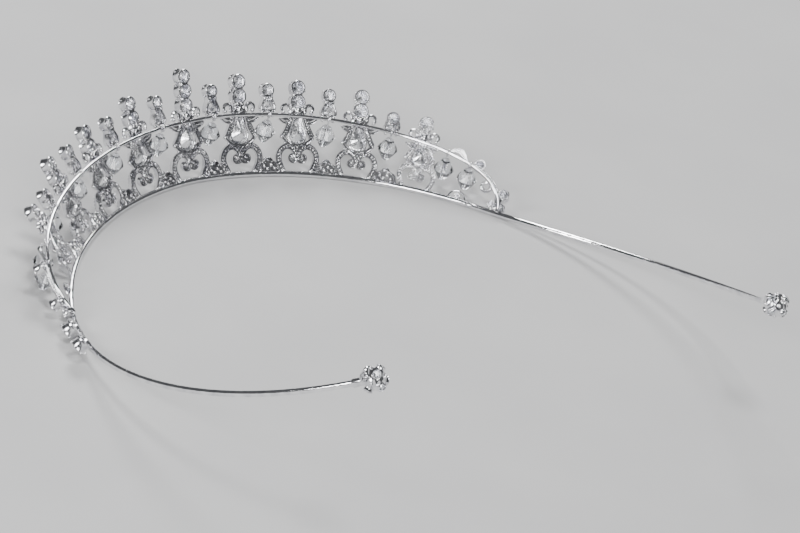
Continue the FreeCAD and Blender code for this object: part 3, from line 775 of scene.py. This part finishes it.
def cluster(metal, stones):
    """A low bridge with a pad, grains and three small stones."""
    low = FOOT + 0.9
    bridge = smooth_line([
        (-2.75, FOOT + 0.1), (-2.3, 1.7), (-1.5, 2.75), (0, 3.0), (1.5, 2.75), (2.3, 1.7),
        (2.75, FOOT + 0.1)], 4)
    strip(metal, bridge, [0.8, 0.65, 0.8])
    strip(metal, [(-2.6, low - 0.2), (2.6, low - 0.2)], 0.55)
    pad = [(-2.3, FOOT + 0.1), (2.3, FOOT + 0.1), (2.1, 2.0), (1.2, 2.9), (-1.2, 2.9), (-2.1, 2.0)]
    plate(metal, pad, BACK - 0.05, 0.5, 0.12)
    for x, y, radius in ((-1.5, 1.4, 0.42), (-0.55, 2.2, 0.5), (0.5, 1.25, 0.5), (1.4, 1.9, 0.45)):
        ball(metal, (x, y, BACK), radius, 6, 10, 0.8)
    for x, y in ((-1.7, low + 0.3), (0.0, low + 1.5), (1.7, low + 0.3)):
        small_cup(metal, stones, x, y)
    for x, y, radius in ((0.0, low - 0.1, 0.5), (-0.8, low + 1.1, 0.32), (0.8, low + 1.1, 0.32),
                         (-2.9, FOOT + 0.1, 0.5), (2.9, FOOT + 0.1, 0.5)):
        ball(metal, (x, y, 0.1), radius, 6)


def half_ring(metal, stones):
    """A thin half ring on the headband with one small stone in it."""
    middle, radius, steps = FOOT + 0.1, 2.2, 24
    bow = []
    for step in range(steps + 1):
        angle = math.pi * step / steps
        bow.append((radius * math.cos(angle), middle + radius * math.sin(angle), 0))
    tube(metal, bow, 0.22)
    tube(metal, [(-2.3, middle + 0.05, 0), (2.3, middle + 0.05, 0)], 0.2)
    collet(metal, 0, middle + 0.6, 0.72, 1.2, claws=3, wall=0.2)
    brilliant(stones, (0, middle + 0.6, 0.4), 0.52)


metal, stones = Soup(), Soup()
for number in range(8):
    metal.place = stones.place = crest_frame((number - 3.5) * SPACING)
    cluster(metal, stones)
for side in (-1, 1):
    metal.place = stones.place = crest_frame(side * END_ARCH)
    half_ring(metal, stones)
make_casting("foot_clusters", metal)
make_gems("foot_cluster_gems", stones, "foot_cluster_stones")

# ---------------------------------------------------------------------------------------------
# End sprays
# ---------------------------------------------------------------------------------------------

SPRAY_CUP_R, SIDE_CUP_R = CUP_R * 0.76, CUP_R * 1.12
SIDE_CUP_LIFT = FOOT + SIDE_CUP_R - 0.35
# Each cup: the wire it stands on, its place past the rail's join, its lift off it, its radius.
SPRAY_CUPS = [
    ("rail", -6.8, 1.9, SPRAY_CUP_R), ("band", 1.2, 5.6, SPRAY_CUP_R),
    ("band", -0.9, FOOT + 1.3, SMALL_R), ("band", 1.7, FOOT + 1.2, SMALL_R),
]
SIDE_CUPS = [
    ("band", 10.0, SIDE_CUP_LIFT, SIDE_CUP_R), ("band", 18.5, SIDE_CUP_LIFT, SIDE_CUP_R),
]
CURL_ARC, LEAF_ARC = JOIN - 3.6, JOIN - 12.1


def guard_ring(metal, y, radius):
    """A flat ring round the back of a side cup, and six grains round its rim."""
    back, front = BACK - 0.02, BACK + 0.4
    outer, inner = radius + 0.28, radius - 0.2
    profile = [(outer, back), (outer, front), (inner, front), (inner, back)]
    lathe(metal, (0, y, 0), profile, 24, closed=True)
    for step in range(6):
        angle = 2 * math.pi * step / 6
        ball(metal, (radius * math.cos(angle), y + radius * math.sin(angle), DEPTH + 0.5), 0.34)


def spray_cups(metal, gems, side):
    """The cups of one end; returns a point at the foot of each."""
    seats = []
    for base, along, lift, radius in SPRAY_CUPS + (SIDE_CUPS if side > 0 else []):
        arc = side * (JOIN + along)
        y = lift + (rail_height(arc) if base == "rail" else 0)
        metal.place = gems.place = crest_frame(arc)
        if radius > SMALL_R:
            stone_cup(metal, gems, 0, y, radius)
        else:
            small_cup(metal, gems, 0, y)
        if radius == SIDE_CUP_R:
            guard_ring(metal, y, radius)
        seats.append(crest_point(arc, y - radius + 0.4))
    return seats


def spray_stem(metal, side, seats):
    """The grained wire that follows the rail to the join, and the stalks that leave it."""
    metal.place = Matrix.Identity(4)
    follow = -RAIL_BACK + RAIL_R + 0.45 - SOLDER
    stem = []
    for back in (7.8, 6.6, 5.4, 4.0, 1.8, 0.5):
        arc = side * (JOIN - back)
        stem.append(crest_point(arc, rail_height(arc) + 0.35, follow))
    join = crest_point(side * (JOIN + 0.4), FOOT + 0.7)
    line = smooth_line(stem + [join], 6)
    tube(metal, line, [0.3, 0.45, 0.5], 10)
    for point in line[1::2]:
        for lift in (-0.08, 0.48):
            ball(metal, point + Vector((0, 0, lift)), 0.3, 4, 6)
    ball(metal, join, 0.85, 6, 10)
    tube(metal, [stem[2], seats[0]], [0.5, 0.4])
    bend = join.lerp(seats[1], 0.5) + Vector((0, 0, 0.3))
    tube(metal, smooth_line([join, bend, seats[1]], 4), [0.6, 0.42])
    ball(metal, join.lerp(seats[1], 0.45), 0.62, 6)
    tube(metal, [crest_point(side * (CURL_ARC + 1.5), 7.2), stem[4]], 0.42)
    for step in range(12):
        arc = side * (JOIN - 5.4 + 0.42 * step)
        for lift in (0.8, 1.3):
            ball(metal, crest_point(arc, rail_height(arc) + lift, -0.3), 0.27, 4, 6)


def spray_curl(metal, side):
    """A beaded curl inside the end of the crest."""
    metal.place = crest_frame(side * CURL_ARC)
    curl = []
    for step in range(19):
        angle = math.radians(50 + 330 * step / 18)
        radius = 1.35 - 0.2 * step / 18
        curl.append((side * radius * math.cos(angle), 6.3 + radius * math.sin(angle), 0))
    tube(metal, curl, [0.5, 0.45, 0.35])
    for point in curl[::2]:
        ball(metal, point, 0.54)


def spray_leaf(metal, side):
    """A leaf that lies along the rail, with a rib and a row of grains."""
    metal.place = crest_frame(side * LEAF_ARC)
    y, tip = rail_height(LEAF_ARC), rail_height(LEAF_ARC + 2.3)
    top = smooth_line(flip([(-2.5, y + 1.4), (-1.3, y + 2.2), (0.3, y + 2.2), (1.6, tip + 1.6),
                            (2.6, tip + 0.1)], side), 5)
    strip(metal, top, [0.3, 0.85, 0.3], 1.2)
    rib = smooth_line(flip([(-2.3, y + 1.5), (0.1, y + 1.5), (2.3, tip + 0.1)], side), 5)
    strip(metal, rib, [0.25, 0.45, 0.25], 1.2)
    beads(metal, flip([(-1.8, y + 1.8), (0.0, y + 2.1), (1.8, tip + 0.8)], side), 0.7, 0.3, 0.0)


SIDES = ((-1, "right"), (1, "left"))
gems = Soup()
for side, side_name in SIDES:
    metal = Soup()
    seats = spray_cups(metal, gems, side)
    spray_stem(metal, side, seats)
    spray_curl(metal, side)
    spray_leaf(metal, side)
    make_casting("end_spray_" + side_name, metal)

# ---------------------------------------------------------------------------------------------
# Crystals
# ---------------------------------------------------------------------------------------------

DROP_DIA, DROP_TIP = 5.4, 2.2
for joint in frame["joints"]:
    number = joint["name"].split("_")[1]
    axis = Vector(joint["axis"])
    flat = Vector((axis.x, axis.y, 0)).normalized()
    upright = Vector((0, 0, 1))
    node = "drop_crystal_" + number
    low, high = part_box(node)
    middle = (Vector(low) + Vector(high)) / (2 * MM)
    crystal = Soup(axes_matrix(middle, flat, upright.cross(flat), upright))
    bicone(crystal, (0, 0, 0), DROP_DIA / 2, (high[2] - low[2]) / (2 * MM), DROP_TIP / DROP_DIA)
    make(node + "_look", crystal, [crystal_glass], joint["child"], [node])

# ---------------------------------------------------------------------------------------------
# Finials
# ---------------------------------------------------------------------------------------------

BALL_RADIUS, BALL_LEVEL = 2.7, 2.5
SEAT_LEVEL, SEAT_DEPTH = 1.8, 1.5


def finial(side, side_name, gems):
    """The ribbed ball on the tip of an arm, with eight stones and five grains."""
    end = station(side * (CREST + ARM))[0]
    onward = (end - station(side * (CREST + ARM - 0.1))[0]).normalized()
    across = onward.cross(Vector((0, 0, 1))).normalized()
    place = axes_matrix(end, across, onward.cross(across), onward)
    metal = Soup(place)
    socket = [(0.0, -3.0), (0.95, -3.0), (1.1, -2.7), (1.0, -1.0), (1.15, 0.2), (0.0, 0.4)]
    lathe(metal, (0, 0, 0), socket, 20)
    core, steps = [], 32
    for step in range(steps + 1):
        angle = math.pi * (step / steps - 0.5)
        radius = BALL_RADIUS + 0.1 * math.cos(16 * angle)
        level = BALL_LEVEL + radius * math.sin(angle)
        core.append((0.0 if step in (0, steps) else radius * math.cos(angle), level))
    lathe(metal, (0, 0, 0), core, 28)
    centre = Vector((0, 0, BALL_LEVEL))
    for turn in range(4):
        angle = math.pi * turn / 2
        out = Vector((math.cos(angle), math.sin(angle), 0))
        ball(metal, centre + out * 2.75, 0.45, 6, 10)
    ball(metal, centre + Vector((0, 0, 2.75)), 0.45, 6, 10)
    for corner in range(8):
        lift = math.asin(1 / math.sqrt(3)) * (1 if corner < 4 else -1)
        angle = math.radians(90 * (corner % 4) + 45)
        level = math.cos(lift)
        out = Vector((level * math.cos(angle), level * math.sin(angle), math.sin(lift)))
        turn = Vector((0, 0, 1)).rotation_difference(out).to_matrix().to_4x4()
        metal.place = gems.place = place @ Matrix.Translation(centre) @ turn
        collet(metal, 0, 0, SMALL_R, SEAT_DEPTH, SEAT_LEVEL, claws=0, wall=0.22)
        brilliant(gems, (0, 0, SEAT_LEVEL + SEAT_DEPTH - 0.15), SMALL_R - 0.2)
    make_casting("finial_" + side_name, metal, fine_silver)


for side, side_name in SIDES:
    finial(side, side_name, gems)
make_gems("end_gems", gems, "end_stones")

# ---------------------------------------------------------------------------------------------
# CAD pieces that stay: wires and pins
# ---------------------------------------------------------------------------------------------

kept = {"headband": wire_silver, "rail_wire": wire_silver}
for joint in frame["joints"]:
    kept["drop_pin_" + joint["name"].split("_")[1]] = fine_silver
for name, material in kept.items():
    for slot in frame["nodes"][name].material_slots:
        slot.material = material

# ---------------------------------------------------------------------------------------------
# Floor, light and camera
# ---------------------------------------------------------------------------------------------

REACH = 4.0
corners = [(-REACH, -REACH, 0), (REACH, -REACH, 0), (REACH, REACH, 0), (-REACH, REACH, 0)]
floor_mesh = bpy.data.meshes.new("floor")
floor_mesh.from_pydata(corners, [], [(0, 1, 2, 3)])
floor = bpy.data.objects.new("floor", floor_mesh)
bpy.context.scene.collection.objects.link(floor)
paper, tree, shader = principled("paper")
tone = ramp(tree, noise(tree, 0.02, 3.0), [(0.3, (0.52, 0.52, 0.525)), (0.7, (0.56, 0.56, 0.56))])
tree.links.new(tone, shader.inputs["Base Color"])
shader.inputs["Roughness"].default_value = 0.75
floor_mesh.materials.append(paper)


def soft_light(name, place, size, watts):
    """A rectangular lamp that faces the origin; metres and watts."""
    light = bpy.data.lights.new(name, "AREA")
    light.shape = "RECTANGLE"
    light.size, light.size_y = size
    light.energy = watts
    lamp = bpy.data.objects.new(name, light)
    bpy.context.scene.collection.objects.link(lamp)
    lamp.location = place
    lamp.rotation_euler = (-Vector(place)).to_track_quat("-Z", "Y").to_euler()


soft_light("light_back", (-0.55, -0.75, 0.75), (0.45, 0.35), 12.0)
soft_light("light_left", (0.95, -0.25, 0.5), (0.3, 0.3), 7.0)
soft_light("light_top", (0.1, 0.25, 1.3), (0.35, 0.35), 9.0)
soft_light("light_behind", (0.85, 1.0, 0.75), (0.7, 0.5), 16.0)

world = bpy.data.worlds.new("studio")
world.use_nodes = True
background = world.node_tree.nodes["Background"]
background.inputs["Color"].default_value = (0.8, 0.82, 0.85, 1)
background.inputs["Strength"].default_value = 0.12
bpy.context.scene.world = world

# The camera looks down at the back of the crest, from over the left arm.
AZIMUTH, ELEVATION, ROLL = math.radians(130.79), math.radians(29.15), math.radians(-15.45)
VIEW_CENTRE = Vector((-0.011445, 0.002764, 0.012301))
DISTANCE, LENS = 1.1636, 210.26
forward = Vector((
    -math.sin(AZIMUTH) * math.cos(ELEVATION),
    math.cos(AZIMUTH) * math.cos(ELEVATION),
    -math.sin(ELEVATION),
))
level_right = forward.cross(Vector((0, 0, 1))).normalized()
level_down = forward.cross(level_right)
right = level_right * math.cos(ROLL) + level_down * math.sin(ROLL)
down = level_down * math.cos(ROLL) - level_right * math.sin(ROLL)
camera_data = bpy.data.cameras.new("camera")
camera_data.lens = LENS
camera_data.sensor_width = 36.0
camera_data.clip_start = 0.01
camera = bpy.data.objects.new("camera", camera_data)
bpy.context.scene.collection.objects.link(camera)
camera.matrix_world = axes_matrix(VIEW_CENTRE - forward * DISTANCE, right, -down, -forward)
bpy.context.scene.camera = camera
